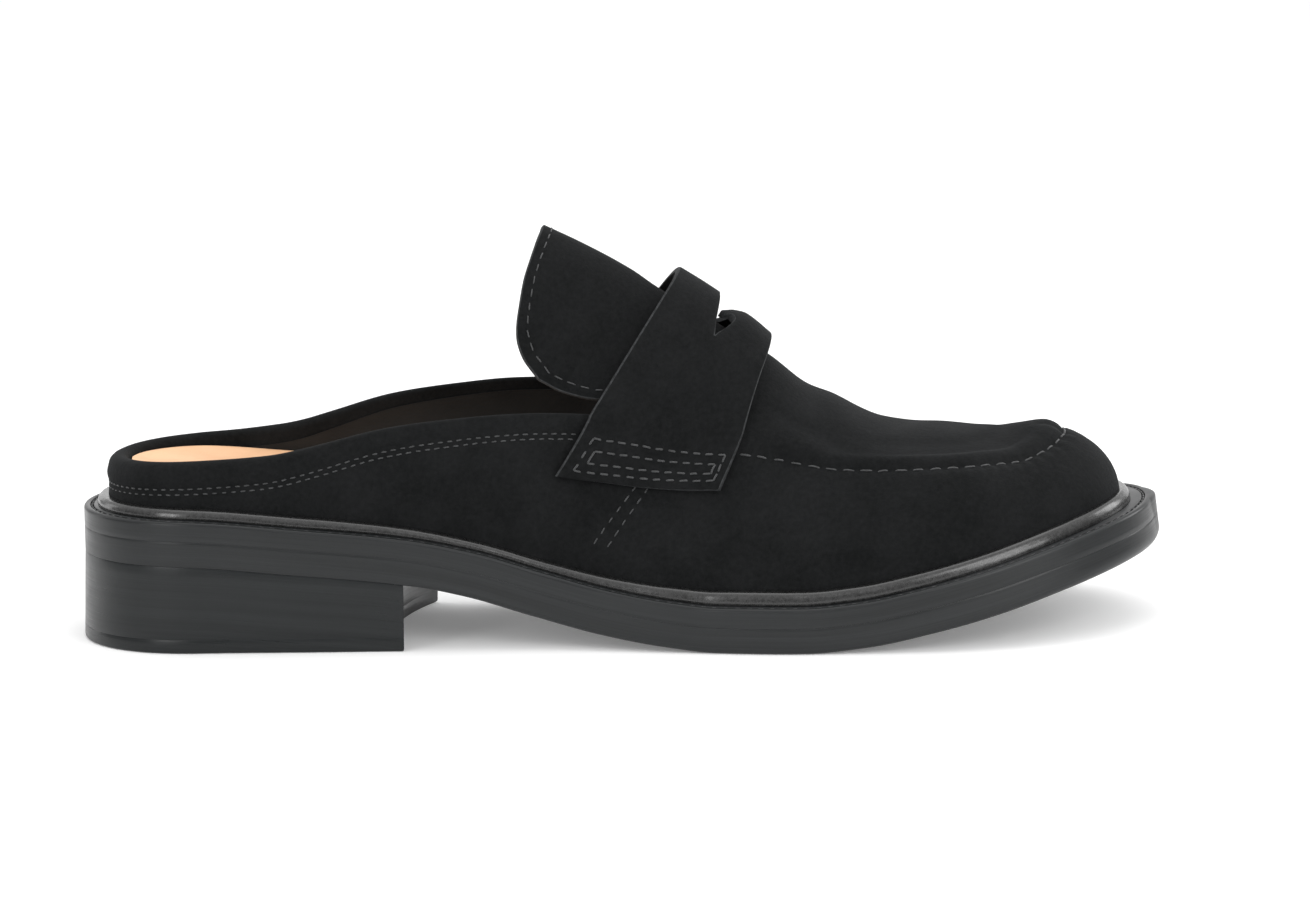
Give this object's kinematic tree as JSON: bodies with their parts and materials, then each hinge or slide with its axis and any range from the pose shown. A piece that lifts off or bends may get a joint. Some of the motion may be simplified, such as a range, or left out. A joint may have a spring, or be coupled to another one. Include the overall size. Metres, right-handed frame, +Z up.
{
  "type": "loafer mule",
  "caption": "Right shoe of a backless loafer in suede, with an arched tongue, a slotted saddle strap, a moccasin seam round the toe, a stitched sole rim and a low block heel.",
  "frame": {"origin": "middle of the shoe's box, on the floor that heel and forefoot stand on", "axes": "+X from the heel to the toe, +Y towards the inner side of the foot, +Z up"},
  "size_m": [0.2672, 0.0948, 0.0989],
  "materials": {
    "sole": "satin",
    "welt": "satin",
    "rand": "gloss",
    "heel": "satin",
    "insole": "satin",
    "suede": "matt suede"
  },
  "bodies": {
    "root": {"outsole": "sole", "welt": "welt", "rand": "rand", "heel_block": "heel", "insole": "insole", "upper": "suede", "tongue": "suede", "saddle_strap": "suede"}
  },
  "joints": []
}
